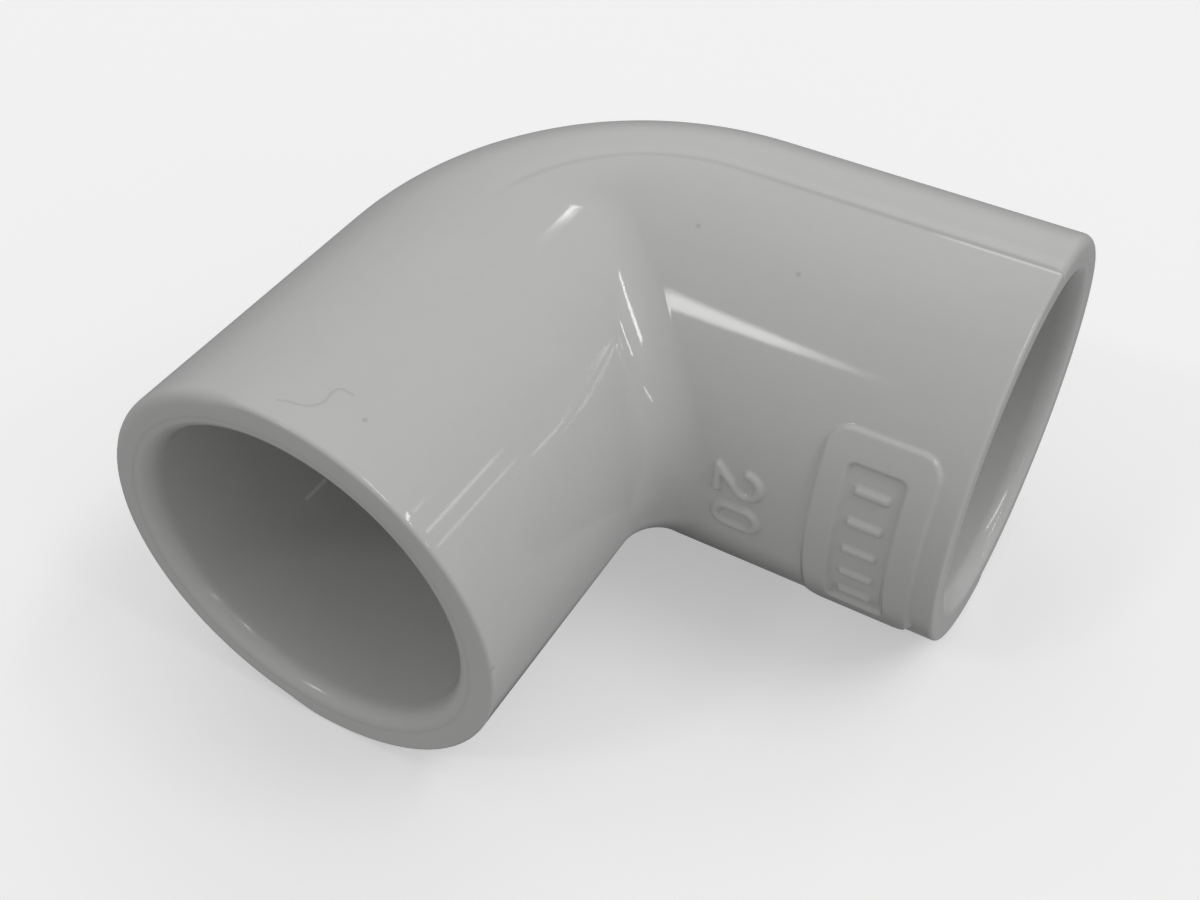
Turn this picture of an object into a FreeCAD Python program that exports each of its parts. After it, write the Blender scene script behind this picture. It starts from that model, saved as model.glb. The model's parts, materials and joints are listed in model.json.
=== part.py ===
import FreeCAD, Part
import math
import os

import Sketcher
from FreeCAD import Placement, Rotation, Vector

# A 90 degree slip elbow for 3/4 in (DN 20) pressure pipe, moulded in one piece.
#
# The part lies on its side. The origin is the centre of its footprint, on the surface that it lies
# on, and +Z is up. Socket A opens along +X and socket B opens along +Y.
#
# Everything is drawn about the crossing of the two socket axes first, and the finished moulding
# is then moved into the part's own frame by its Placement.

# Driving dimensions in millimetres.
DIMENSIONS = [
    ("outer_radius", 16.65, "outside of the sockets and the bend"),
    ("centre_to_face", 39.4, "crossing of the axes to each end face"),
    ("bend_radius", 14.0, "centre line of the bend's outside, on the heel side"),
    ("throat_round", 4.2, "round in the inside corner between the two legs"),
    ("socket_depth", 25.4, "end face to the shoulder that stops the pipe"),
    ("socket_radius", 13.36, "socket wall, which the pipe slides into"),
    ("waterway_radius", 10.4, "bore beyond the shoulder"),
    ("waterway_bend_radius", 8.6, "centre line of the waterway's heel"),
    ("lead_in_round", 1.1, "round at the mouth of each socket"),
    ("rim_round", 0.5, "round on the outside edge of each end face"),
    ("mark_height", 0.35, "how far the raised marks stand out"),
    ("mark_root", 0.5, "how far the raised marks run into the wall"),
    ("panel_start", 29.0, "raised border, edge nearer the bend"),
    ("panel_end", 37.5, "raised border, edge nearer the mouth"),
    ("panel_half_height", 9.1, "raised border, half of its height"),
    ("panel_round", 1.6, "outer corners of the raised border"),
    ("panel_border", 2.1, "width of the raised border"),
    ("window_round", 0.5, "inner corners of the raised border"),
    ("bar_length", 2.6, "plain bars inside the border"),
    ("bar_width", 0.6, "plain bars inside the border"),
    ("bar_pitch", 2.6, "spacing of the plain bars"),
    ("digit_start", 21.4, "foot of the size numerals"),
    ("digit_height", 4.0, "size numerals"),
    ("digit_width", 2.6, "size numerals"),
    ("digit_stroke", 0.6, "size numerals"),
    ("digit_gap", 0.9, "space between the size numerals"),
    ("digit_top", 3.3, "upper edge of the size numerals, above the socket axis"),
]

BAR_COUNT = 5
QUARTER_TURN = 90.0
FULL_TURN = 360.0
NEARLY_ZERO = 0.01

# Sketcher's own numbers for the origin point and the two axes of a sketch.
ORIGIN_POINT = (-1, 1)
HORIZONTAL_AXIS = -1
VERTICAL_AXIS = -2


class Size:
    """A length together with the sheet expression that drives it."""

    def __init__(self, value, expression):
        self.value = value
        self.expression = expression

    def __add__(self, other):
        return Size(self.value + other.value, f"{self.expression} + {other.expression}")

    def __sub__(self, other):
        return Size(self.value - other.value, f"{self.expression} - ({other.expression})")


def make_sheet(doc):
    """Write the driving dimensions to a spreadsheet and return them as sizes, by name."""
    sheet = doc.addObject("Spreadsheet::Sheet", "dims")
    sizes = {}
    for row, (name, value, meaning) in enumerate(DIMENSIONS, start=1):
        sheet.set(f"A{row}", name)
        sheet.set(f"B{row}", str(value))
        sheet.setAlias(f"B{row}", name)
        sheet.set(f"C{row}", meaning)
        sizes[name] = Size(value, f"dims.{name}")
    doc.recompute()
    return sizes


def new_sketch(body, name, plane_role, shift_x=None, shift_normal=None):
    """Attach a sketch to one of the body's origin planes, moved by sizes where they are given."""
    plane = next(p for p in body.Origin.OriginFeatures if p.Role == plane_role)
    sketch = body.newObject("Sketcher::SketchObject", name)
    sketch.AttachmentSupport = (plane, [""])
    sketch.MapMode = "FlatFace"
    if shift_x:
        sketch.setExpression(".AttachmentOffset.Base.x", shift_x.expression)
    if shift_normal:
        sketch.setExpression(".AttachmentOffset.Base.z", shift_normal.expression)
    return sketch


def bind(sketch, constraint, size, label):
    """Add a dimension to a sketch, drive it from the sheet and give it a name."""
    index = sketch.addConstraint(constraint)
    sketch.renameConstraint(index, label)
    sketch.setExpression(f"Constraints.{label}", size.expression)


def pin_point(sketch, geometry, end, x_size, y_size, label):
    """Fix one end of a line at two sizes from the sketch's origin; None puts it on the axis."""
    if x_size is None:
        sketch.addConstraint(Sketcher.Constraint("PointOnObject", geometry, end, VERTICAL_AXIS))
    else:
        width = Sketcher.Constraint("DistanceX", *ORIGIN_POINT, geometry, end, x_size.value)
        bind(sketch, width, x_size, f"x_{label}")
    if y_size is None:
        sketch.addConstraint(Sketcher.Constraint("PointOnObject", geometry, end, HORIZONTAL_AXIS))
    else:
        height = Sketcher.Constraint("DistanceY", *ORIGIN_POINT, geometry, end, y_size.value)
        bind(sketch, height, y_size, f"y_{label}")


def polygon(sketch, corners):
    """Draw a closed outline through corners given as pairs of sizes."""
    points = [Vector(x.value if x else 0, y.value if y else 0, 0) for x, y in corners]
    first = sketch.GeometryCount
    for start, end in zip(points, points[1:] + points[:1]):
        sketch.addGeometry(Part.LineSegment(start, end))
    for index, (x_size, y_size) in enumerate(corners):
        line = first + index
        previous = first + (index - 1) % len(corners)
        sketch.addConstraint(Sketcher.Constraint("Coincident", previous, 2, line, 1))
        pin_point(sketch, line, 1, x_size, y_size, str(line))


def leg_profile(body, name, leg, corners):
    """Sketch a profile beside a leg's axis, in the plane of the elbow.

    Corners are (distance along the leg, distance from its axis). Leg A runs along the sketch's
    horizontal axis and leg B along its vertical one.
    """
    sketch = new_sketch(body, f"{name}_{leg}_profile", "XY_Plane")
    polygon(sketch, corners if leg == "a" else [(out, along) for along, out in corners])
    return sketch


def turn_profile(body, kind, name, sketch, axis, angle):
    """Revolve a sketch about one of its axes, adding or cutting material."""
    feature = body.newObject(f"PartDesign::{kind}", name)
    feature.Profile = sketch
    feature.ReferenceAxis = (sketch, [axis])
    feature.Angle = angle
    return feature


def make_leg(body, sizes, leg):
    """Add the straight outside of one leg, from the end of the bend to the end face."""
    start = sizes["bend_radius"]
    face = sizes["centre_to_face"]
    radius = sizes["outer_radius"]
    corners = [(start, None), (face, None), (face, radius), (start, radius)]
    sketch = leg_profile(body, "leg", leg, corners)
    axis = "H_Axis" if leg == "a" else "V_Axis"
    turn_profile(body, "Revolution", f"leg_{leg}", sketch, axis, FULL_TURN)


def cut_socket(body, sizes, leg):
    """Cut one socket, with the shoulder that stops the pipe, and the bore behind it."""
    bend = sizes["waterway_bend_radius"]
    face = sizes["centre_to_face"]
    shoulder = face - sizes["socket_depth"]
    socket = sizes["socket_radius"]
    waterway = sizes["waterway_radius"]
    corners = [
        (bend, None),
        (face, None),
        (face, socket),
        (shoulder, socket),
        (shoulder, waterway),
        (bend, waterway),
    ]
    sketch = leg_profile(body, "socket", leg, corners)
    axis = "H_Axis" if leg == "a" else "V_Axis"
    turn_profile(body, "Groove", f"socket_{leg}", sketch, axis, FULL_TURN)


def pivot_sketch(body, name, pivot):
    """Attach a sketch across leg B whose vertical axis is the upright line that the bend turns about."""
    across = Size(-pivot.value, f"-({pivot.expression})")
    return new_sketch(body, name, "XZ_Plane", shift_x=pivot, shift_normal=across)


def short_bend(body, kind, name, tube, pivot):
    """Turn a disc a quarter turn about an axis that passes through it.

    The disc is cut off at the axis. What the cut takes away lies inside the two legs, so the legs
    meet at a mitre in the throat and stay round over the heel.
    """
    sketch = pivot_sketch(body, f"{name}_profile", pivot)
    chord = math.sqrt(tube.value**2 - pivot.value**2)
    opening = math.atan2(chord, pivot.value)
    disc = Part.Circle(Vector(-pivot.value, 0, 0), Vector(0, 0, 1), tube.value)
    arc = sketch.addGeometry(Part.ArcOfCircle(disc, opening, 2 * math.pi - opening))
    line = sketch.addGeometry(Part.LineSegment(Vector(0, -chord, 0), Vector(0, chord, 0)))
    sketch.addConstraint(Sketcher.Constraint("Coincident", arc, 2, line, 1))
    sketch.addConstraint(Sketcher.Constraint("Coincident", line, 2, arc, 1))
    sketch.addConstraint(Sketcher.Constraint("PointOnObject", arc, 3, HORIZONTAL_AXIS))
    sketch.addConstraint(Sketcher.Constraint("PointOnObject", line, 1, VERTICAL_AXIS))
    sketch.addConstraint(Sketcher.Constraint("PointOnObject", line, 2, VERTICAL_AXIS))
    centre = Sketcher.Constraint("DistanceX", arc, 3, *ORIGIN_POINT, pivot.value)
    bind(sketch, centre, pivot, "pivot")
    bind(sketch, Sketcher.Constraint("Radius", arc, tube.value), tube, "tube")
    return turn_profile(body, kind, name, sketch, "V_Axis", QUARTER_TURN)


def long_bend(body, name, tube, pivot):
    """Turn a whole disc a quarter turn about an axis outside it, which rounds the throat."""
    sketch = pivot_sketch(body, f"{name}_profile", pivot)
    disc = Part.Circle(Vector(-pivot.value, 0, 0), Vector(0, 0, 1), tube.value)
    circle = sketch.addGeometry(disc)
    sketch.addConstraint(Sketcher.Constraint("PointOnObject", circle, 3, HORIZONTAL_AXIS))
    centre = Sketcher.Constraint("DistanceX", circle, 3, *ORIGIN_POINT, pivot.value)
    bind(sketch, centre, pivot, "pivot")
    bind(sketch, Sketcher.Constraint("Radius", circle, tube.value), tube, "tube")
    return turn_profile(body, "Revolution", name, sketch, "V_Axis", QUARTER_TURN)


def mouth_edges(shape, face_distance, radius):
    """Name the circular edges of a given radius that lie on the two end faces."""
    names = []
    for index, edge in enumerate(shape.Edges, start=1):
        if edge.Degenerated or not isinstance(edge.Curve, Part.Circle):
            continue
        if abs(edge.Curve.Radius - radius) > NEARLY_ZERO:
            continue
        centre = edge.Curve.Center
        on_face = abs(max(centre.x, centre.y) - face_distance) < NEARLY_ZERO
        if on_face and abs(min(centre.x, centre.y)) < NEARLY_ZERO:
            names.append(f"Edge{index}")
    return names


def round_mouths(doc, body, sizes, name, edge_size, round_size):
    """Round one circular edge at both mouths."""
    doc.recompute()
    base = body.Tip
    face = sizes["centre_to_face"].value
    edges = mouth_edges(base.Shape, face, edge_size.value)
    if len(edges) < 2:
        raise RuntimeError(f"{name}: the mouths' edges were not found")
    feature = body.newObject("PartDesign::Fillet", name)
    feature.Base = (base, edges)
    feature.setExpression("Radius", round_size.expression)


def make_moulding(doc, sizes):
    """Build the fitting without its raised marks, about the crossing of the socket axes."""
    body = doc.addObject("PartDesign::Body", "moulding")
    outer = sizes["outer_radius"]
    for leg in ("a", "b"):
        make_leg(body, sizes, leg)
    short_bend(body, "Revolution", "heel", outer, sizes["bend_radius"])
    long_bend(body, "throat", outer, outer + sizes["throat_round"])
    for leg in ("a", "b"):
        cut_socket(body, sizes, leg)
    bore = sizes["waterway_radius"]
    short_bend(body, "Groove", "waterway_bend", bore, sizes["waterway_bend_radius"])
    round_mouths(doc, body, sizes, "rim_rounds", outer, sizes["rim_round"])
    socket = sizes["socket_radius"]
    round_mouths(doc, body, sizes, "lead_in_rounds", socket, sizes["lead_in_round"])
    doc.recompute()
    return body


def make_mark_skin(doc, sizes):
    """Make the thin tube on leg B that every raised mark is a piece of."""
    radii = {
        "mark_top": sizes["outer_radius"] + sizes["mark_height"],
        "mark_bottom": sizes["outer_radius"] - sizes["mark_root"],
    }
    along_leg_b = Rotation(Vector(1, 0, 0), -90)
    for name, radius in radii.items():
        cylinder = doc.addObject("Part::Cylinder", name)
        cylinder.Placement = Placement(Vector(), along_leg_b)
        cylinder.setExpression("Radius", radius.expression)
        cylinder.setExpression("Height", sizes["centre_to_face"].expression)
    skin = doc.addObject("Part::Cut", "mark_skin")
    skin.Base = doc.mark_top
    skin.Tool = doc.mark_bottom
    return skin


def add_block(doc, sizes, name, start, end, half_height, centre_height):
    """Add a box that stands across the leg, from its axis out past the marks."""
    block = doc.addObject("Part::Box", name)
    block.setExpression("Length", "dims.outer_radius + 2 * dims.mark_height")
    block.setExpression("Width", (end - start).expression)
    block.setExpression("Height", f"2 * ({half_height.expression})")
    block.setExpression(".Placement.Base.y", start.expression)
    block.setExpression(".Placement.Base.z", f"{centre_height} - ({half_height.expression})")
    return block


def round_upright_corners(doc, block, name, radius):
    """Round the four edges of a block that run out along +X."""
    doc.recompute()
    rounded = doc.addObject("Part::Fillet", name)
    rounded.Base = block
    edges = []
    for index, edge in enumerate(block.Shape.Edges, start=1):
        run = edge.Vertexes[1].Point - edge.Vertexes[0].Point
        if abs(run.y) < NEARLY_ZERO and abs(run.z) < NEARLY_ZERO:
            edges.append((index, radius.value, radius.value))
    rounded.Edges = edges
    return rounded


def make_panel(doc, sizes):
    """Make the raised border on the throat side of leg B, with plain bars inside it."""
    start, end = sizes["panel_start"], sizes["panel_end"]
    border = sizes["panel_border"]
    half = sizes["panel_half_height"]
    plate = add_block(doc, sizes, "panel_plate", start, end, half, 0)
    window = add_block(doc, sizes, "panel_window", start + border, end - border, half - border, 0)
    frame = doc.addObject("Part::Cut", "panel_frame")
    frame.Base = round_upright_corners(doc, plate, "panel_outline", sizes["panel_round"])
    frame.Tool = round_upright_corners(doc, window, "window_outline", sizes["window_round"])
    bar_length = sizes["bar_length"]
    bar_half = Size(sizes["bar_width"].value / 2, "dims.bar_width / 2")
    middle = f"(({start.expression}) + ({end.expression}) - ({bar_length.expression})) / 2"
    bar_start = Size((start.value + end.value - bar_length.value) / 2, middle)
    bars = []
    for index in range(BAR_COUNT):
        step = index - (BAR_COUNT - 1) / 2
        height = f"{step} * dims.bar_pitch"
        name = f"bar_{index + 1}"
        bars.append(add_block(doc, sizes, name, bar_start, bar_start + bar_length, bar_half, height))
    return [frame] + bars


def nought_face(width, height, stroke):
    """Draw a nought: a rounded ring, upright, with its foot on the horizontal axis."""
    faces = []
    for inset in (0, stroke):
        radius = width / 2 - inset
        low = Vector(width / 2, width / 2, 0)
        high = Vector(width / 2, height - width / 2, 0)
        top = Part.Arc(
            high + Vector(radius, 0, 0), high + Vector(0, radius, 0), high - Vector(radius, 0, 0)
        ).toShape()
        bottom = Part.Arc(
            low - Vector(radius, 0, 0), low - Vector(0, radius, 0), low + Vector(radius, 0, 0)
        ).toShape()
        left = Part.makeLine(high - Vector(radius, 0, 0), low - Vector(radius, 0, 0))
        right = Part.makeLine(low + Vector(radius, 0, 0), high + Vector(radius, 0, 0))
        faces.append(Part.Face(Part.Wire([top, left, bottom, right])))
    return faces[0].cut(faces[1])


def two_face(width, height, stroke):
    """Draw a two: a bowl that runs at 45 degrees into a flat foot."""
    centre = Vector(width / 2, height - width / 2, 0)
    downhill = math.sqrt(0.5)

    def on_bowl(radius, across, up):
        return centre + Vector(radius * across, radius * up, 0)

    def bowl(radius):
        middle_angle = math.radians((180 - 45) / 2)
        middle = on_bowl(radius, math.cos(middle_angle), math.sin(middle_angle))
        return Part.Arc(on_bowl(radius, -1, 0), middle, on_bowl(radius, downhill, -downhill))

    outer, inner = width / 2, width / 2 - stroke
    outer_end = on_bowl(outer, downhill, -downhill)
    inner_end = on_bowl(inner, downhill, -downhill)
    crook = Vector(outer_end.x - (outer_end.y - stroke), stroke, 0)
    corners = [
        outer_end,
        crook,
        Vector(width, stroke, 0),
        Vector(width, 0, 0),
        Vector(0, 0, 0),
        Vector(0, inner_end.y - inner_end.x, 0),
        inner_end,
    ]
    edges = [bowl(outer).toShape(), bowl(inner).toShape()]
    edges.append(Part.makeLine(on_bowl(inner, -1, 0), on_bowl(outer, -1, 0)))
    edges += [Part.makeLine(a, b) for a, b in zip(corners, corners[1:])]
    return Part.Face(Part.Wire(Part.__sortEdges__(edges)))


def make_numerals(doc, sizes):
    """Make the nominal size in plain numerals, 20, read down the side of leg B.

    Their feet are towards the bend. No primitive has these outlines, so they are drawn here from
    the sheet's sizes.
    """
    width, height = sizes["digit_width"].value, sizes["digit_height"].value
    stroke = sizes["digit_stroke"].value
    reach = sizes["outer_radius"].value + 2 * sizes["mark_height"].value
    on_the_leg = Rotation(Vector(0, 0, -1), Vector(0, 1, 0), Vector(1, 0, 0))
    numerals = []
    for index, draw in enumerate((two_face, nought_face)):
        top = sizes["digit_top"].value - index * (width + sizes["digit_gap"].value)
        block = draw(width, height, stroke).extrude(Vector(0, 0, reach))
        numeral = doc.addObject("Part::Feature", f"numeral_{index + 1}")
        numeral.Shape = block
        numeral.Placement = Placement(Vector(0, sizes["digit_start"].value, top), on_the_leg)
        numerals.append(numeral)
    return numerals


def make_marks(doc, sizes):
    """Trim the panel and the numerals to the curve of the leg."""
    outlines = doc.addObject("Part::MultiFuse", "mark_outlines")
    outlines.Shapes = make_panel(doc, sizes) + make_numerals(doc, sizes)
    marks = doc.addObject("Part::Common", "marks")
    marks.Base = make_mark_skin(doc, sizes)
    marks.Tool = outlines
    return marks


def make_elbow(doc, sizes):
    """Join the moulding and its marks, and move them into the part's own frame."""
    elbow = doc.addObject("Part::MultiFuse", "elbow_body")
    elbow.Label = "elbow_body"
    elbow.Shapes = [make_moulding(doc, sizes), make_marks(doc, sizes)]
    half_footprint = "(dims.centre_to_face - dims.outer_radius) / 2"
    elbow.setExpression(".Placement.Base.x", f"-{half_footprint}")
    elbow.setExpression(".Placement.Base.y", f"-{half_footprint}")
    elbow.setExpression(".Placement.Base.z", "dims.outer_radius")
    doc.recompute()
    return elbow


def check(doc, sub_parts):
    """Stop if any object failed to compute or any sub-part is not one sound solid."""
    for item in doc.Objects:
        if {"Invalid", "Error"} & set(item.State):
            raise RuntimeError(f"{item.Label} failed: {item.State}")
    for sub_part in sub_parts:
        shape = sub_part.Shape
        if shape.isNull() or not shape.isValid() or len(shape.Solids) != 1:
            raise RuntimeError(f"{sub_part.Label} is not one valid solid")
        box = shape.optimalBoundingBox(True, False)
        print(
            f"{sub_part.Label}: {shape.Volume:.1f} mm3, "
            f"x {box.XMin:.2f}..{box.XMax:.2f}, y {box.YMin:.2f}..{box.YMax:.2f}, "
            f"z {box.ZMin:.2f}..{box.ZMax:.2f}"
        )


def main():
    doc = FreeCAD.newDocument("slip_elbow")
    sizes = make_sheet(doc)
    sub_parts = [make_elbow(doc, sizes)]
    check(doc, sub_parts)
    os.makedirs("parts", exist_ok=True)
    for sub_part in sub_parts:
        sub_part.Shape.exportStep(os.path.join("parts", f"{sub_part.Label}.step"))


main()
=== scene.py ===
import json
import math

import bpy
import numpy as np
from mathutils import Matrix, Vector


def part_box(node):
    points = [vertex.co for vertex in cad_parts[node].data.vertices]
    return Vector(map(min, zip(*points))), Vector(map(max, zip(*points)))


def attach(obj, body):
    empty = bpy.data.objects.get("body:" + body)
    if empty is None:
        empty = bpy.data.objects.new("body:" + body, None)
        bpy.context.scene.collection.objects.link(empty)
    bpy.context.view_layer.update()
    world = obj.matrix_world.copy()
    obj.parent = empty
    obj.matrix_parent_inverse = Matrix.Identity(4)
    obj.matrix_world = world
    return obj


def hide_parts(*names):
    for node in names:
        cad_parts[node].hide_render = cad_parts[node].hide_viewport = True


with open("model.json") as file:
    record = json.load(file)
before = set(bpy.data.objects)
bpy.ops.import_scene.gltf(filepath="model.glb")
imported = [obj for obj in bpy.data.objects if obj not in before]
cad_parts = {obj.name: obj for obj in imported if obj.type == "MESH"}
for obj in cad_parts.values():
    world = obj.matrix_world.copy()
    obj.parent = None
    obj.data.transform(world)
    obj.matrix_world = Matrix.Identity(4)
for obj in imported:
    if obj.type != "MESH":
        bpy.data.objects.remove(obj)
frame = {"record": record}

for name in ("Cube", "Light", "Camera"):
    if name in bpy.data.objects:
        bpy.data.objects.remove(bpy.data.objects[name])

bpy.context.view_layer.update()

MM = 0.001
NODE = "elbow_body"

# ---------------------------------------------------------------- sizes, in millimetres

# Leg A runs along +X and leg B along +Y, from the crossing of their axes. "Along" is a distance
# from the crossing. The throat is the inner side of the bend and the heel its outer side.
low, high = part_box(NODE)
SOCKET_A = next(mount for mount in frame["record"]["mounts"] if mount["name"] == "socket_a")
OUTER = (high.z - low.z) / MM / 2
FACE = (high.x - low.x) / MM - OUTER
SOCKET = SOCKET_A["dims"]["r_mm"]
CROSSING = Vector((low.x, low.y, low.z)) + Vector((OUTER, OUTER, OUTER)) * MM
SHOULDER = SOCKET_A["pos_m"][0] / MM - CROSSING.x / MM

# The outside's quarter turn: how far along each leg it starts on the heel half, how much nearer
# it starts towards the throat, its radius right at the throat, and how softly the two meet.
BEND = 14.0
THROAT_TIGHTENING = 15.1
THROAT_ROUND = 4.2
THROAT_BLEND = 1.0
# The waterway: its radius, and the same for its own quarter turn, which doesn't tighten.
WATERWAY = 10.4
WATERWAY_BEND = 8.6
WATERWAY_THROAT_ROUND = 0.15
WATERWAY_BLEND = 0.3
# The shoulder that stops the pipe: its round, its flat, and the points of its corner with the
# socket wall, as distances from the shoulder and from the wall.
SHOULDER_ROUND = 0.3
SHOULDER_FLAT = 1.2
SHOULDER_CORNER = ((0.12, 0.0), (0.03, 0.04), (0.0, 0.15))

# The mouths: an elliptical lead-in, and a faint witness step in the face, given as distances
# outside its radius and shares of its depth.
LEAD_IN = 1.1
LEAD_IN_LENGTH = 1.7
FACE_RING = 15.4
WITNESS_RADIUS = 14.52
WITNESS_STEP = 0.03
WITNESS_PROFILE = ((0.45, 0.0), (0.2, 0.5), (-0.06, 1.0))
# The round of a mouth's outer edge changes between two angles from the throat, in degrees.
RIM_ROUND_THROAT = 0.3
RIM_ROUND_HEEL = 0.85
RIM_CHANGE_A = (92.0, 106.0)
RIM_CHANGE_B = (89.0, 91.5)

# The raised marks on leg B: a border with plain bars in its window, and two numerals.
MARK_HEIGHT = 0.35
MARK_SHOULDER = 0.24
MARKS_FROM, MARKS_TO = 21.15, FACE - 1.2
PANEL = (29.0, 37.5)
PANEL_HALF_HEIGHT = 9.1
PANEL_ROUND = 1.6
PANEL_BORDER = 2.1
WINDOW_ROUND = 0.5
BAR_LENGTH, BAR_WIDTH, BAR_PITCH, BAR_COUNT = 2.6, 0.6, 2.6, 5
BAR_ROUND = 0.12
DIGIT_START, DIGIT_HEIGHT, DIGIT_WIDTH = 21.4, 4.0, 2.6
DIGIT_STROKE, DIGIT_GAP, DIGIT_TOP = 0.6, 0.9, 3.3

# The parting line: the surface drops towards the heel half and recovers further on. The spans
# are distances from the line, round the section.
SEAM_DROP, SEAM_DROP_SPAN = 0.1, (-0.25, 0.05)
SEAM_RECOVERY, SEAM_RECOVERY_SPAN = 0.08, (0.05, 1.8)
# It grows from mouth A (0) to mouth B (1) in two stages: the amount, the start and the end.
SEAM_GROWTH = ((0.4, 0.4, 0.5), (0.6, 0.55, 0.95))

# ---------------------------------------------------------------- rows and columns of the grid

# Columns round half of the section, from the throat to the heel: start, end (degrees) and count.
COLUMN_RUNS = (
    (0.0, 35.5, 80), (35.5, 80.0, 19), (80.0, 88.0, 5), (88.0, 92.0, 12), (92.0, 100.0, 5),
    (100.0, 180.0, 28),
)
# Rows from mouth A (0) to mouth B (1), for leg A, the bend, plain leg B, the stretch with the
# marks, and the end of leg B: start, end and count.
RUNS = (
    ("leg_a", 0.0, 0.4, 34), ("bend", 0.4, 0.7, 44), ("leg_b", 0.7, 0.8, 9),
    ("marks", 0.8, 1.0, 128), ("end_b", 1.0, 1.0, 4),
)
RIM_ROWS = 7
# A mouth's row in the middle of the witness step, counted from the start of its rim.
WITNESS_ROW = RIM_ROWS + 2
LEAD_IN_ROWS = 12
SOCKET_ROWS = 12
SHOULDER_ROWS = 5
WATERWAY_ROWS = 26
# Rows between the shoulder and the waterway's turn, as shares of the way.
WATERWAY_STRAIGHT = (0.35, 0.7)

# ---------------------------------------------------------------- surface

ROUGHNESS = (0.055, 0.1)
# Extra roughness where the hair line, the specks and the painted shade darken the colour.
DARKENING_DULLNESS = 0.5
MOUTH_WEAR = 0.08
REFRACTION = 1.5
CLOUD_SCALE, CLOUD_DETAIL = 60.0, 4.0
GRAIN_SCALE, GRAIN_DETAIL, GRAIN_SHARE = 900.0, 3.0, 0.35
MOTTLE, MOTTLE_TONE = (0.35, 1.0), (0.965, 1.035)
RIPPLE, RIPPLE_SCALE, RIPPLE_DETAIL = 0.006, 260.0, 3.0
# Tones along the parting line: distance from it round the section, half width, and how much
# darker or lighter. The dark line is painted shade in the step, the band on the heel side is
# painted light and the lip is a painted highlight. The lip shows only where the line is nearly
# at full strength.
SEAM_LINE, SEAM_LINE_WIDTH, SEAM_PAINTED_SHADE = 0.04, 0.55, 0.22
SEAM_BAND, SEAM_BAND_WIDTH, SEAM_BAND_PAINTED_LIGHT = 0.9, 1.0, 0.06
SEAM_LIP, SEAM_LIP_WIDTH, SEAM_LIP_PAINTED_HIGHLIGHT = -0.34, 0.26, 0.35
SEAM_LIP_FROM = 0.97
# The witness step's dark ring is painted shade.
WITNESS_PAINTED_SHADE = 0.07
# A hair line on top of leg A, a painted highlight inside mouth A and specks of dirt: places in
# millimetres from the crossing. The hair line shows only above the heights given.
HAIR = [(37.7, 0.4), (37.3, 1.8), (37.0, 2.4), (36.4, 2.8), (35.0, 2.8), (34.6, 3.1), (34.6, 3.9)]
HAIR_WIDTH, HAIR_DARKNESS, HAIR_HEIGHTS = 0.16, 0.15, (10, 14)
WANDER, WANDER_SCALE, WANDER_DETAIL = 0.25, 700.0, 2.0
PAINTED_GLINT = [(26.8, -10.5, -8.3), (24.4, -10.5, -8.3)]
PAINTED_GLINT_WIDTH, PAINTED_GLINT_LIGHTNESS = 0.28, 0.4
SPECKS = [(6.4, 14.1, 15.4), (7.4, 22.7, 14.9), (35.7, 5.6, 15.7), (39.1, 16.6, 1.1)]
SPECK_EDGE, SPECK_DARKNESS = (0.1, 0.28), 0.17
# Smaller specks everywhere: cells per metre, where a speck fades out in its cell, and how strong
# it is in the cells that are picked.
DUST_CELLS, DUST_EDGE, DUST_STRENGTH = 420.0, (0.04, 0.09), 0.6
DUST_PICK = (0.95, 0.96)

# ---------------------------------------------------------------- floor, light, camera

# Lengths are in metres here, apart from the camera's lens and sensor.
WHITE = (1, 1, 1, 1)
FLOOR_REACH = 3.0
FLOOR_COLOUR = (0.8, 0.8, 0.8, 1)
FLOOR_ROUGHNESS = 0.9
FLOOR_GLOW = 0.3

# The surroundings' strength below and above, and the heights between which it changes, on a
# sphere of radius 1.
WORLD_BELOW = 0.277
WORLD_ABOVE = 0.43
HORIZON = (-0.2, 0.2)
# Soft patches in the surroundings, three light and one dark: azimuth from +X towards +Y,
# elevation, half width (all in degrees) and strength at the middle.
PATCHES = [
    (95, 54, 28, 0.4),
    (185, 40, 60, 0.277),
    (110, -20, 50, 0.16),
    (-118, -60, 30, -0.27),
]
LAMP_DISTANCE = 10.0
# Small bright lamps: name, (azimuth, elevation) of one end and of the other, thickness in
# degrees, radiance.
LAMPS = [
    ("lamp_heel", (176.2, 45.4), (181.0, 46.6), 0.8, 16.0),
    ("lamp_corner", (80, 51.6), (113, 59.4), 4.5, 11.0),
    ("lamp_corner_top", (113, 59.4), (134, 60.5), 3.4, 10.0),
    ("lamp_corner_low", (102, 36.5), (124, 36), 1.8, 11.0),
    ("lamp_corner_end", (68, 22.5), (82, 27.5), 1.8, 7.0),
    ("lamp_long", (121, 25), (128, 22.6), 1.2, 3.2),
    ("lamp_long_low", (119, 17.4), (126.4, 15.6), 0.9, 2.8),
    ("lamp_long_bend_1", (126.6, 11.3), (128.4, 10.5), 0.35, 6.0),
    ("lamp_long_bend_2", (128.4, 10.5), (130.6, 12.2), 0.35, 6.0),
    ("lamp_long_bend_3", (130.6, 12.2), (133.5, 17.5), 0.35, 6.0),
    ("lamp_dot", (127.0, 34.0), (128.4, 32.8), 1.0, 2.5),
]
# A tapering bright strip, made of slices: the azimuths, elevations and thicknesses of its ends
# in degrees, and the number of slices over which it fades out at its thin end.
WEDGE_AZIMUTHS = (-35.0, -18.5)
WEDGE_ELEVATIONS = (46.0, 47.4)
WEDGE_THICKNESSES = (7.3, 2.0)
WEDGE_RADIANCE = 7.2
WEDGE_SLICES = 10
WEDGE_FADE = 3
# The strip's soft edge: how many times wider it is, and its share of the strip's radiance.
WEDGE_EDGE = (1.5, 0.5)

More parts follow.
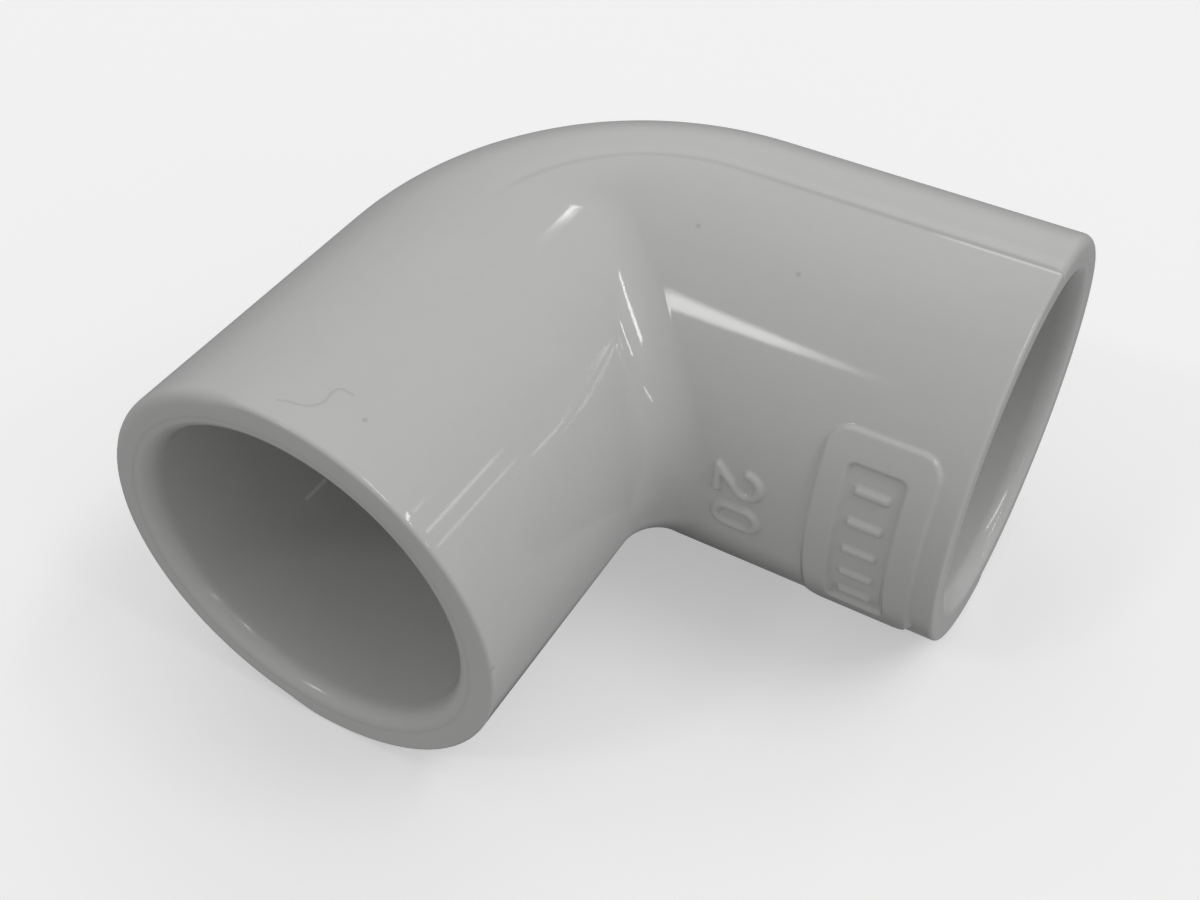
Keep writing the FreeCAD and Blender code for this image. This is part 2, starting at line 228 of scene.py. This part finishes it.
# The camera's turn about Z, height above the horizon and roll, in degrees, its place from the
# crossing, and its lens and sensor in millimetres.
CAMERA_TURN, CAMERA_TILT, CAMERA_ROLL = 120.54, 44.78, -0.25
CAMERA_PLACE = (0.08615, 0.05266, 0.07977)
CAMERA_LENS, CAMERA_SENSOR = 44.0, 36.0
CAMERA_CLIP = 0.01


# ---------------------------------------------------------------- raised marks, as distances

def rounded_box(along, up, centre, half, radius):
    """Signed distance to a rounded rectangle, negative inside it."""
    dx = np.abs(along - centre[0]) - half[0] + radius
    dy = np.abs(up - centre[1]) - half[1] + radius
    outside = np.hypot(np.maximum(dx, 0), np.maximum(dy, 0))
    return outside + np.minimum(np.maximum(dx, dy), 0) - radius


def stroke(along, up, start, end):
    """Distance to a straight stroke."""
    run = np.array(end) - np.array(start)
    t = ((along - start[0]) * run[0] + (up - start[1]) * run[1]) / (run @ run)
    t = np.clip(t, 0, 1)
    return np.hypot(along - start[0] - t * run[0], up - start[1] - t * run[1])


def digit_two(right, rise):
    """Signed distance to a two. right and rise are its own directions, from its lower left."""
    half = DIGIT_STROKE / 2
    radius = DIGIT_WIDTH / 2 - half
    centre = (DIGIT_WIDTH / 2, DIGIT_HEIGHT - DIGIT_WIDTH / 2)
    dx, dy = right - centre[0], rise - centre[1]
    angle = np.degrees(np.arctan2(dy, dx))
    on_bowl = (angle > -45) & (angle < 180)
    diagonal = radius * math.sqrt(0.5)
    bowl_end = (centre[0] + diagonal, centre[1] - diagonal)
    ends = np.minimum(
        np.hypot(dx + radius, dy), np.hypot(right - bowl_end[0], rise - bowl_end[1])
    )
    bowl = np.where(on_bowl, np.abs(np.hypot(dx, dy) - radius), ends)
    foot = (bowl_end[0] - (bowl_end[1] - half), half)
    slope = stroke(right, rise, bowl_end, foot)
    base = stroke(right, rise, (half, half), (DIGIT_WIDTH - half, half))
    return np.minimum(np.minimum(bowl, slope), base) - half


def digit_nought(right, rise):
    """Signed distance to a nought, with the directions of the two."""
    half = DIGIT_STROKE / 2
    radius = DIGIT_WIDTH / 2
    spine = stroke(right, rise, (radius, radius), (radius, DIGIT_HEIGHT - radius))
    return np.abs(spine - (radius - half)) - half


def mark_distance(along, up):
    """Signed distance on leg B, from distance along the leg and height above its axis."""
    middle = (PANEL[0] + PANEL[1]) / 2
    half = ((PANEL[1] - PANEL[0]) / 2, PANEL_HALF_HEIGHT)
    plate = rounded_box(along, up, (middle, 0), half, PANEL_ROUND)
    inner = (half[0] - PANEL_BORDER, half[1] - PANEL_BORDER)
    window = rounded_box(along, up, (middle, 0), inner, WINDOW_ROUND)
    distance = np.maximum(plate, -window)
    bar_half = (BAR_LENGTH / 2, BAR_WIDTH / 2)
    for index in range(BAR_COUNT):
        height = (index - (BAR_COUNT - 1) / 2) * BAR_PITCH
        bar = rounded_box(along, up, (middle, height), bar_half, BAR_ROUND)
        distance = np.minimum(distance, bar)
    for index, digit in enumerate((digit_two, digit_nought)):
        top = DIGIT_TOP - index * (DIGIT_WIDTH + DIGIT_GAP)
        distance = np.minimum(distance, digit(top - up, along - DIGIT_START))
    return distance


# ---------------------------------------------------------------- the moulding's grid

def smooth_max(a, b, blend):
    """The larger of two values, rounded off where they cross."""
    return 0.5 * (a + b + np.sqrt((a - b) ** 2 + blend**2))


def smooth_step(low_edge, high_edge, value):
    """0 up to the low edge, 1 from the high edge, easing in between."""
    t = np.clip((value - low_edge) / (high_edge - low_edge), 0.0, 1.0)
    return t * t * (3.0 - 2.0 * t)


def quarter_arc(count):
    """(1 - sine, 1 - cosine) at even steps of a quarter turn."""
    angles = [share * math.pi / 2 for share in np.linspace(0, 1, count)]
    return [(1 - math.sin(angle), 1 - math.cos(angle)) for angle in angles]


def spaced(*runs):
    """Join runs of evenly spaced values: (start, end, count), each without its end."""
    return np.concatenate([np.linspace(a, b, n, endpoint=False) for a, b, n in runs])


def column_angles():
    """Angles round the section from the throat, close together where there is fine detail."""
    half = spaced(*COLUMN_RUNS)
    other = -spaced(*((end, start, count) for start, end, count in reversed(COLUMN_RUNS)))
    return np.radians(np.concatenate([half, other]))


ANGLES = column_angles()
COS, SIN = np.cos(ANGLES), np.sin(ANGLES)
ZEROS = np.zeros_like(COS)
SEAM_ARC = (np.abs(ANGLES) - math.pi / 2) * OUTER

# Where each column's quarter turn starts, along both legs.
OUTER_TURN = smooth_max(
    BEND - THROAT_TIGHTENING * np.maximum(COS, 0), (OUTER + THROAT_ROUND) * COS, THROAT_BLEND
)
WATERWAY_TURN = smooth_max(
    WATERWAY_BEND, WATERWAY * COS + WATERWAY_THROAT_ROUND, WATERWAY_BLEND
)


def leg_a_row(radius, along):
    """A row of points round leg A, one for each column."""
    return np.stack([along + ZEROS, radius * COS, radius * SIN], axis=1)


def leg_b_row(radius, along):
    """A row of points round leg B, one for each column."""
    return np.stack([radius * COS, along + ZEROS, radius * SIN], axis=1)


def turn_row(radius, turn, share):
    """A row of points round the bend, after a share of the quarter turn from leg A to leg B."""
    rho = turn - radius * COS
    angle = share * math.pi / 2
    across, along = turn - rho * math.sin(angle), turn - rho * math.cos(angle)
    return np.stack([across, along, radius * SIN], axis=1)


def rim_round(change):
    """Radius of a rim's outer edge in each column, larger on the heel half of the moulding."""
    heel_share = smooth_step(*change, np.degrees(np.abs(ANGLES)))
    return RIM_ROUND_THROAT + (RIM_ROUND_HEEL - RIM_ROUND_THROAT) * heel_share


RIM_ROUND_A = rim_round(RIM_CHANGE_A)
RIM_ROUND_B = rim_round(RIM_CHANGE_B)


def seam_strength(progress):
    """How plain the parting line is, from mouth A (0) to mouth B (1)."""
    return sum(amount * smooth_step(start, end, progress) for amount, start, end in SEAM_GROWTH)


def seam_rise(progress):
    """Height of the surface at the parting line: a drop to the heel half, then a slow recovery."""
    drop = SEAM_DROP * smooth_step(*SEAM_DROP_SPAN, SEAM_ARC)
    recovery = SEAM_RECOVERY * smooth_step(*SEAM_RECOVERY_SPAN, SEAM_ARC)
    return seam_strength(progress) * (recovery - drop)


def outside_row(run, share, radius):
    """One row of the outside, part of the way along a run."""
    if run == "bend":
        return turn_row(radius, OUTER_TURN, share)
    if run == "leg_a":
        start = FACE - RIM_ROUND_A
        return leg_a_row(radius, start + (OUTER_TURN - start) * share)
    if run == "leg_b":
        return leg_b_row(radius, OUTER_TURN + (MARKS_FROM - OUTER_TURN) * share)
    if run == "end_b":
        end = FACE - RIM_ROUND_B
        return leg_b_row(radius, MARKS_TO + (end - MARKS_TO) * share)
    along = MARKS_FROM + (MARKS_TO - MARKS_FROM) * share
    distance = mark_distance(along, OUTER * SIN)
    rise = MARK_HEIGHT * (1 - smooth_step(-MARK_SHOULDER / 2, MARK_SHOULDER / 2, distance))
    return leg_b_row(radius + rise * (COS > 0), along)


def outside_rows():
    """From the rim of mouth A over the bend to the rim of mouth B."""
    rows = []
    for run, start, end, count in RUNS:
        for share in np.linspace(0, 1, count, endpoint=False):
            radius = OUTER + seam_rise(start + (end - start) * share)
            rows.append(outside_row(run, share, radius))
    return rows


def mouth_profile(progress, edge):
    """(along, radius) from the outside of a mouth, over its face, to the straight socket wall."""
    outer = OUTER + seam_rise(progress)
    profile = []
    for back, inward in quarter_arc(RIM_ROWS):
        profile.append((FACE - edge * back, outer - edge * inward))
    profile.append((FACE, FACE_RING))
    for outward, share in WITNESS_PROFILE:
        profile.append((FACE - share * WITNESS_STEP, WITNESS_RADIUS + outward))
    for outward, back in quarter_arc(LEAD_IN_ROWS)[1:]:
        along = FACE - WITNESS_STEP - LEAD_IN_LENGTH * back
        profile.append((along, SOCKET + LEAD_IN * outward))
    return profile


def socket_profile():
    """(along, radius) from the end of the lead-in to the waterway."""
    start = FACE - WITNESS_STEP - LEAD_IN_LENGTH
    shares = np.linspace(0, 1, SOCKET_ROWS)[1:-1]
    profile = [(start + (SHOULDER - start) * share, SOCKET) for share in shares]
    for before, inward in SHOULDER_CORNER:
        profile.append((SHOULDER + before, SOCKET - inward))
    profile.append((SHOULDER, WATERWAY + SHOULDER_FLAT))
    for outward, back in quarter_arc(SHOULDER_ROWS):
        profile.append((SHOULDER - SHOULDER_ROUND * back, WATERWAY + SHOULDER_ROUND * outward))
    return profile


def inside_rows():
    """Down socket B, through the waterway and up socket A."""
    profile = socket_profile()
    last = SHOULDER - SHOULDER_ROUND
    straight = [last + (WATERWAY_TURN - last) * share for share in WATERWAY_STRAIGHT]
    rows = [leg_b_row(radius, along) for along, radius in profile]
    rows += [leg_b_row(WATERWAY, along) for along in straight]
    for share in np.linspace(0, 1, WATERWAY_ROWS):
        rows.append(turn_row(WATERWAY, WATERWAY_TURN, 1 - share))
    rows += [leg_a_row(WATERWAY, along) for along in reversed(straight)]
    rows += [leg_a_row(radius, along) for along, radius in reversed(profile)]
    return rows


def moulding_rows():
    """The whole skin: over the outside, in at mouth B and out at mouth A, where it closes."""
    mouth_b = mouth_profile(1.0, RIM_ROUND_B)
    mouth_a = mouth_profile(0.0, RIM_ROUND_A)[1:]
    rows = outside_rows()
    rows += [leg_b_row(radius, along) for along, radius in mouth_b]
    rows += inside_rows()
    rows += [leg_a_row(radius, along) for along, radius in reversed(mouth_a)]
    return rows


def mark_lines(mesh, count, columns):
    """Give each point what the material needs to know about its place.

    That is its distance from the parting line, the line's strength there, and whether it is on a
    mouth's witness step, which gets painted shade, or on a lead-in, which wear makes rougher.
    """
    progress = spaced(*(run[1:] for run in RUNS))
    mouth_b = len(progress)
    strengths = np.zeros(count)
    strengths[:mouth_b] = seam_strength(progress)
    strengths[mouth_b:mouth_b + RIM_ROWS // 2] = 1.0
    line_b, line_a = mouth_b + WITNESS_ROW, count - WITNESS_ROW
    witness = np.zeros(count)
    witness[[line_b, line_a]] = 1.0
    wear_and_lip_highlight = np.zeros(count)
    wear_and_lip_highlight[line_b + 1:line_b + 1 + LEAD_IN_ROWS] = 1.0
    wear_and_lip_highlight[line_a - LEAD_IN_ROWS:line_a] = 1.0
    for name, values in (
        ("seam_arc", np.tile(SEAM_ARC, count)),
        ("seam_strength", np.repeat(strengths, columns)),
        ("witness", np.repeat(witness, columns)),
        ("mouth_wear", np.repeat(wear_and_lip_highlight, columns)),
    ):
        attribute = mesh.attributes.new(name, "FLOAT", "POINT")
        attribute.data.foreach_set("value", values)


def make_moulding():
    """Build the elbow as one closed skin: a grid that wraps round in both directions."""
    rows = np.array(moulding_rows())
    count, columns = rows.shape[:2]
    points = rows.reshape(-1, 3) * MM + np.array(CROSSING)
    ids = np.arange(count * columns).reshape(count, columns)
    down = np.roll(ids, -1, axis=0)
    quads = np.stack([ids, down, np.roll(down, -1, axis=1), np.roll(ids, -1, axis=1)], axis=-1)
    quads = quads.reshape(-1, 4)
    mesh = bpy.data.meshes.new("elbow_moulding")
    mesh.vertices.add(len(points))
    mesh.vertices.foreach_set("co", points.ravel())
    mesh.loops.add(quads.size)
    mesh.loops.foreach_set("vertex_index", quads.ravel())
    mesh.polygons.add(len(quads))
    mesh.polygons.foreach_set("loop_start", np.arange(0, quads.size, 4))
    mesh.update(calc_edges=True)
    mesh.validate()
    mesh.polygons.foreach_set("use_smooth", np.ones(len(mesh.polygons), bool))
    mark_lines(mesh, count, columns)
    piece = bpy.data.objects.new("elbow_moulding", mesh)
    bpy.context.scene.collection.objects.link(piece)
    return piece


# ---------------------------------------------------------------- nodes

def put(tree, kind, inputs=None, **settings):
    """Add a node, with its settings, and set or link its inputs."""
    node = tree.nodes.new(kind)
    for name, value in settings.items():
        setattr(node, name, value)
    for name, value in (inputs or {}).items():
        if isinstance(value, bpy.types.NodeSocket):
            tree.links.new(value, node.inputs[name])
        else:
            node.inputs[name].default_value = value
    return node


def combine(tree, first, second, operation="ADD"):
    """Two values added, multiplied and so on."""
    return put(tree, "ShaderNodeMath", {0: first, 1: second}, operation=operation).outputs[0]


def smooth_range(tree, value, source, target):
    """Map a value from one range to another, easing at both ends."""
    inputs = {
        "Value": value,
        "From Min": source[0], "From Max": source[1],
        "To Min": target[0], "To Max": target[1],
    }
    node = put(tree, "ShaderNodeMapRange", inputs, interpolation_type="SMOOTHSTEP")
    return node.outputs["Result"]


def bell(tree, value, middle, half_width):
    """1 where the value is at the middle, easing to 0 at half_width to either side."""
    gap = combine(tree, value, middle, "SUBTRACT")
    size = put(tree, "ShaderNodeMath", {0: gap}, operation="ABSOLUTE").outputs[0]
    return smooth_range(tree, size, (0.0, half_width), (1.0, 0.0))


def noise(tree, place, scale, detail, output="Fac"):
    """A noise in space, as a value or as a colour."""
    inputs = {"Vector": place, "Scale": scale, "Detail": detail}
    return put(tree, "ShaderNodeTexNoise", inputs).outputs[output]


def stored(tree, name):
    """A value that the mesh stores at its points."""
    return put(tree, "ShaderNodeAttribute", attribute_name=name).outputs["Fac"]


def part_of(tree, vector, axis):
    """One coordinate of a vector."""
    return put(tree, "ShaderNodeSeparateXYZ", {"Vector": vector}).outputs[axis]


def distance_to_stroke(tree, place, start, end):
    """Distance from a place to a straight stroke."""
    start, run = Vector(start), Vector(end) - Vector(start)
    from_start = put(tree, "ShaderNodeVectorMath", {0: place, 1: start}, operation="SUBTRACT")
    offset = from_start.outputs["Vector"]
    inputs = {0: offset, 1: run / run.dot(run)}
    share = put(tree, "ShaderNodeVectorMath", inputs, operation="DOT_PRODUCT").outputs["Value"]
    share = put(tree, "ShaderNodeClamp", {"Value": share}).outputs["Result"]
    inputs = {0: run, "Scale": share}
    reach = put(tree, "ShaderNodeVectorMath", inputs, operation="SCALE").outputs["Vector"]
    inputs = {0: offset, 1: reach}
    return put(tree, "ShaderNodeVectorMath", inputs, operation="DISTANCE").outputs["Value"]


def new_material(name):
    """A material with its node tree and its main shader."""
    material = bpy.data.materials.new(name)
    material.use_nodes = True
    shader = material.node_tree.nodes["Principled BSDF"]
    return material, material.node_tree, shader


# ---------------------------------------------------------------- the plastic

def wandering(tree, place):
    """The same place, moved a little by a noise, so that drawn lines aren't straight."""
    stir = noise(tree, place, WANDER_SCALE, WANDER_DETAIL, "Color")
    middle = (0.5, 0.5, 0.5)
    inputs = {0: stir, 1: middle}
    offset = put(tree, "ShaderNodeVectorMath", inputs, operation="SUBTRACT").outputs["Vector"]
    inputs = {0: offset, 1: (2 * WANDER * MM,) * 3, 2: place}
    return put(tree, "ShaderNodeVectorMath", inputs, operation="MULTIPLY_ADD").outputs["Vector"]


def hair_mask(tree, place):
    """A fine dark hair line on top of leg A, seen from straight above."""
    inputs = {0: wandering(tree, place), 1: (1, 1, 0)}
    flat = put(tree, "ShaderNodeVectorMath", inputs, operation="MULTIPLY").outputs["Vector"]
    points = [(CROSSING.x + x * MM, CROSSING.y + y * MM, 0) for x, y in HAIR]
    nearest = 1.0
    for start, end in zip(points, points[1:]):
        away = distance_to_stroke(tree, flat, start, end)
        nearest = combine(tree, nearest, away, "MINIMUM")
    line = smooth_range(tree, nearest, (0.0, HAIR_WIDTH * MM), (1.0, 0.0))
    heights = [CROSSING.z + height * MM for height in HAIR_HEIGHTS]
    above = smooth_range(tree, part_of(tree, place, "Z"), heights, (0.0, 1.0))
    return combine(tree, line, above, "MULTIPLY")


def speck_mask(tree, place):
    """Sparse dark specks everywhere, and a few larger ones at chosen places."""
    inputs = {"Vector": place, "Scale": DUST_CELLS}
    cells = put(tree, "ShaderNodeTexVoronoi", inputs)
    near = smooth_range(tree, cells.outputs["Distance"], DUST_EDGE, (1.0, 0.0))
    pick = part_of(tree, cells.outputs["Color"], "X")
    chosen = smooth_range(tree, pick, DUST_PICK, (0.0, DUST_STRENGTH))
    total = combine(tree, near, chosen, "MULTIPLY")
    edge = [distance * MM for distance in SPECK_EDGE]
    for spot in SPECKS:
        centre = CROSSING + Vector(spot) * MM
        away = put(tree, "ShaderNodeVectorMath", {0: place, 1: centre}, operation="DISTANCE")
        one = smooth_range(tree, away.outputs["Value"], edge, (1.0, 0.0))
        total = combine(tree, total, one, "MAXIMUM")
    return total


def dirt_and_shade_darkness(tree, place, arc, strength):
    """How much darker the colour gets from painted shade on the parting line and the witness step,
    and from the hair line and the specks.
    """
    # Painted shade in the step of the parting line, strongest where the line is.
    seam = combine(tree, bell(tree, arc, SEAM_LINE, SEAM_LINE_WIDTH), strength, "MULTIPLY")
    dirt_and_shade = combine(tree, seam, SEAM_PAINTED_SHADE, "MULTIPLY")
    # The hair line and the specks are marks on the part; the witness ring is painted shade.
    for mask, darkness in (
        (hair_mask(tree, place), HAIR_DARKNESS),
        (speck_mask(tree, place), SPECK_DARKNESS),
        (stored(tree, "witness"), WITNESS_PAINTED_SHADE),
    ):
        dirt_and_shade = combine(tree, dirt_and_shade, combine(tree, mask, darkness, "MULTIPLY"), "MAXIMUM")
    return dirt_and_shade


def painted_light_factor(tree, place, arc, strength):
    """How many times lighter the colour gets from a painted highlight on the parting line's lip,
    painted light on the band beside it and a painted highlight inside mouth A.
    """
    # A painted highlight on the lip on the throat side, near mouth B only.
    lip = bell(tree, arc, SEAM_LIP, SEAM_LIP_WIDTH)
    wear_and_lip_highlight = smooth_range(tree, strength, (SEAM_LIP_FROM, 1.0), (0.0, SEAM_LIP_PAINTED_HIGHLIGHT))
    lip = combine(tree, lip, wear_and_lip_highlight, "MULTIPLY")
    # Painted light on a band on the heel side of the line.
    band = combine(tree, bell(tree, arc, SEAM_BAND, SEAM_BAND_WIDTH), strength, "MULTIPLY")
    band = combine(tree, band, SEAM_BAND_PAINTED_LIGHT, "MULTIPLY")
    painted_brightening = combine(tree, combine(tree, lip, band), 1.0)
    # A painted highlight inside mouth A.
    away = distance_to_stroke(tree, place, *(CROSSING + Vector(end) * MM for end in PAINTED_GLINT))
    painted_glint = smooth_range(tree, away, (0.0, PAINTED_GLINT_WIDTH * MM), (PAINTED_GLINT_LIGHTNESS, 0.0))
    return combine(tree, painted_brightening, painted_glint)


def make_pvc():
    """A gloss plastic, faintly mottled and rippled, with a hair line and specks.

    Painted shade darkens the parting line and the witness step. Painted highlights lighten the
    line's lip and a streak inside mouth A, and painted light lightens the band beside the line.
    The hair line, the specks and the painted shade also make it rougher, and so do the lead-ins.
    """
    material, tree, shader = new_material("pvc")
    base = frame["record"]["materials"][0]["base_color"]
    place = put(tree, "ShaderNodeTexCoord").outputs["Object"]
    cloud = noise(tree, place, CLOUD_SCALE, CLOUD_DETAIL)
    grain = noise(tree, place, GRAIN_SCALE, GRAIN_DETAIL)
    arc, strength = stored(tree, "seam_arc"), stored(tree, "seam_strength")
    dirt_and_shade = dirt_and_shade_darkness(tree, place, arc, strength)

    mottle = combine(tree, cloud, combine(tree, grain, GRAIN_SHARE, "MULTIPLY"))
    tone = put(tree, "ShaderNodeMapRange", {
        "Value": mottle,
        "From Min": MOTTLE[0], "From Max": MOTTLE[1],
        "To Min": MOTTLE_TONE[0], "To Max": MOTTLE_TONE[1],
    })
    not_darkened = combine(tree, 1.0, dirt_and_shade, "SUBTRACT")
    shade = combine(tree, tone.outputs["Result"], not_darkened, "MULTIPLY")
    shade = combine(tree, shade, painted_light_factor(tree, place, arc, strength), "MULTIPLY")
    colour = put(tree, "ShaderNodeVectorMath", {0: tuple(base), "Scale": shade}, operation="SCALE")
    tree.links.new(colour.outputs["Vector"], shader.inputs["Base Color"])

    inputs = {"Value": cloud, "To Min": ROUGHNESS[0], "To Max": ROUGHNESS[1]}
    finish = put(tree, "ShaderNodeMapRange", inputs).outputs["Result"]
    dull = combine(tree, finish, combine(tree, dirt_and_shade, DARKENING_DULLNESS, "MULTIPLY"))
    wear = combine(tree, stored(tree, "mouth_wear"), MOUTH_WEAR, "MULTIPLY")
    tree.links.new(combine(tree, dull, wear), shader.inputs["Roughness"])

    ripple = noise(tree, place, RIPPLE_SCALE, RIPPLE_DETAIL)
    inputs = {"Strength": 1.0, "Distance": RIPPLE * MM, "Height": ripple}
    bump = put(tree, "ShaderNodeBump", inputs)
    tree.links.new(bump.outputs["Normal"], shader.inputs["Normal"])
    shader.inputs["IOR"].default_value = REFRACTION
    return material


# ---------------------------------------------------------------- stage, lights, camera

def make_floor():
    """A pale floor that takes a shadow and stays out of reflections and bounced light."""
    reach = FLOOR_REACH
    corners = [(-reach, -reach, 0), (reach, -reach, 0), (reach, reach, 0), (-reach, reach, 0)]
    mesh = bpy.data.meshes.new("floor")
    mesh.from_pydata(corners, [], [(0, 1, 2, 3)])
    floor = bpy.data.objects.new("floor", mesh)
    bpy.context.scene.collection.objects.link(floor)
    material, _, shader = new_material("floor")
    shader.inputs["Base Color"].default_value = FLOOR_COLOUR
    shader.inputs["Roughness"].default_value = FLOOR_ROUGHNESS
    shader.inputs["Emission Color"].default_value = WHITE
    shader.inputs["Emission Strength"].default_value = FLOOR_GLOW
    mesh.materials.append(material)
    floor.visible_diffuse = False
    floor.visible_glossy = False


def direction(azimuth, elevation):
    """A unit vector; azimuth turns from +X towards +Y, in degrees."""
    a, e = math.radians(azimuth), math.radians(elevation)
    return Vector((math.cos(e) * math.cos(a), math.cos(e) * math.sin(a), math.sin(e)))


def make_world():
    """Even light from above, less from below, and the soft patches."""
    world = bpy.data.worlds.new("studio")
    world.use_nodes = True
    tree = world.node_tree
    looking = put(tree, "ShaderNodeTexCoord").outputs["Generated"]
    height = part_of(tree, looking, "Z")
    total = smooth_range(tree, height, HORIZON, (WORLD_BELOW, WORLD_ABOVE))
    for azimuth, elevation, half_width, strength in PATCHES:
        middle = tuple(direction(azimuth, elevation))
        near = put(tree, "ShaderNodeVectorMath", {0: looking, 1: middle}, operation="DOT_PRODUCT")
        edge = math.cos(math.radians(half_width))
        patch = smooth_range(tree, near.outputs["Value"], (edge, 1.0), (0.0, strength))
        total = combine(tree, total, patch)
    background = tree.nodes["Background"]
    background.inputs["Color"].default_value = WHITE
    tree.links.new(total, background.inputs["Strength"])
    bpy.context.scene.world = world


def make_lamp(name, start, end, thickness, radiance):
    """A bright rectangle that runs from one direction to another and faces the elbow."""
    first, last = direction(*start), direction(*end)
    towards = (first + last).normalized()
    run = last - first
    data = bpy.data.lights.new(name, "AREA")
    data.shape = "RECTANGLE"
    data.size = run.length * LAMP_DISTANCE
    data.size_y = math.radians(thickness) * LAMP_DISTANCE
    data.energy = radiance * data.size * data.size_y * math.pi
    along = (run - towards * run.dot(towards)).normalized()
    lamp = bpy.data.objects.new(name, data)
    place = Matrix((along, towards.cross(along), towards)).transposed().to_4x4()
    place.translation = CROSSING + towards * LAMP_DISTANCE
    lamp.matrix_world = place
    bpy.context.scene.collection.objects.link(lamp)


def make_wedge():
    """The tapering strip: slices end to end, each with a wider, weaker one for the soft edge."""
    azimuths = np.linspace(*WEDGE_AZIMUTHS, WEDGE_SLICES + 1)
    elevations = np.linspace(*WEDGE_ELEVATIONS, WEDGE_SLICES + 1)
    ends = list(zip(azimuths, elevations))
    thicknesses = np.linspace(*WEDGE_THICKNESSES, WEDGE_SLICES)
    widening, share = WEDGE_EDGE
    for index, (start, end, thickness) in enumerate(zip(ends, ends[1:], thicknesses)):
        radiance = WEDGE_RADIANCE * min(1.0, (WEDGE_SLICES - index) / (WEDGE_FADE + 1))
        soft = (thickness * widening, radiance * share)
        make_lamp(f"lamp_wedge_{index + 1}", start, end, thickness, radiance)
        make_lamp(f"lamp_wedge_edge_{index + 1}", start, end, *soft)


def make_camera():
    """A camera that looks at the elbow from above, between the two mouths."""
    turn, tilt, roll = map(math.radians, (CAMERA_TURN, CAMERA_TILT, CAMERA_ROLL))
    back = Vector((
        math.sin(turn) * math.cos(tilt),
        -math.cos(turn) * math.cos(tilt),
        math.sin(tilt),
    ))
    level = Vector((math.cos(turn), math.sin(turn), 0))
    rise = back.cross(level)
    right = level * math.cos(roll) + rise * math.sin(roll)
    up = back.cross(right)
    data = bpy.data.cameras.new("camera")
    data.lens = CAMERA_LENS
    data.sensor_width = CAMERA_SENSOR
    data.clip_start = CAMERA_CLIP
    camera = bpy.data.objects.new("camera", data)
    place = Matrix((right, up, back)).transposed().to_4x4()
    place.translation = CROSSING + Vector(CAMERA_PLACE)
    camera.matrix_world = place
    bpy.context.scene.collection.objects.link(camera)
    bpy.context.scene.camera = camera


elbow = make_moulding()
elbow.data.materials.append(make_pvc())
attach(elbow, "root")
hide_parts(NODE)
make_floor()
make_world()
for lamp in LAMPS:
    make_lamp(*lamp)
make_wedge()
make_camera()
bpy.context.scene.view_settings.view_transform = "Standard"
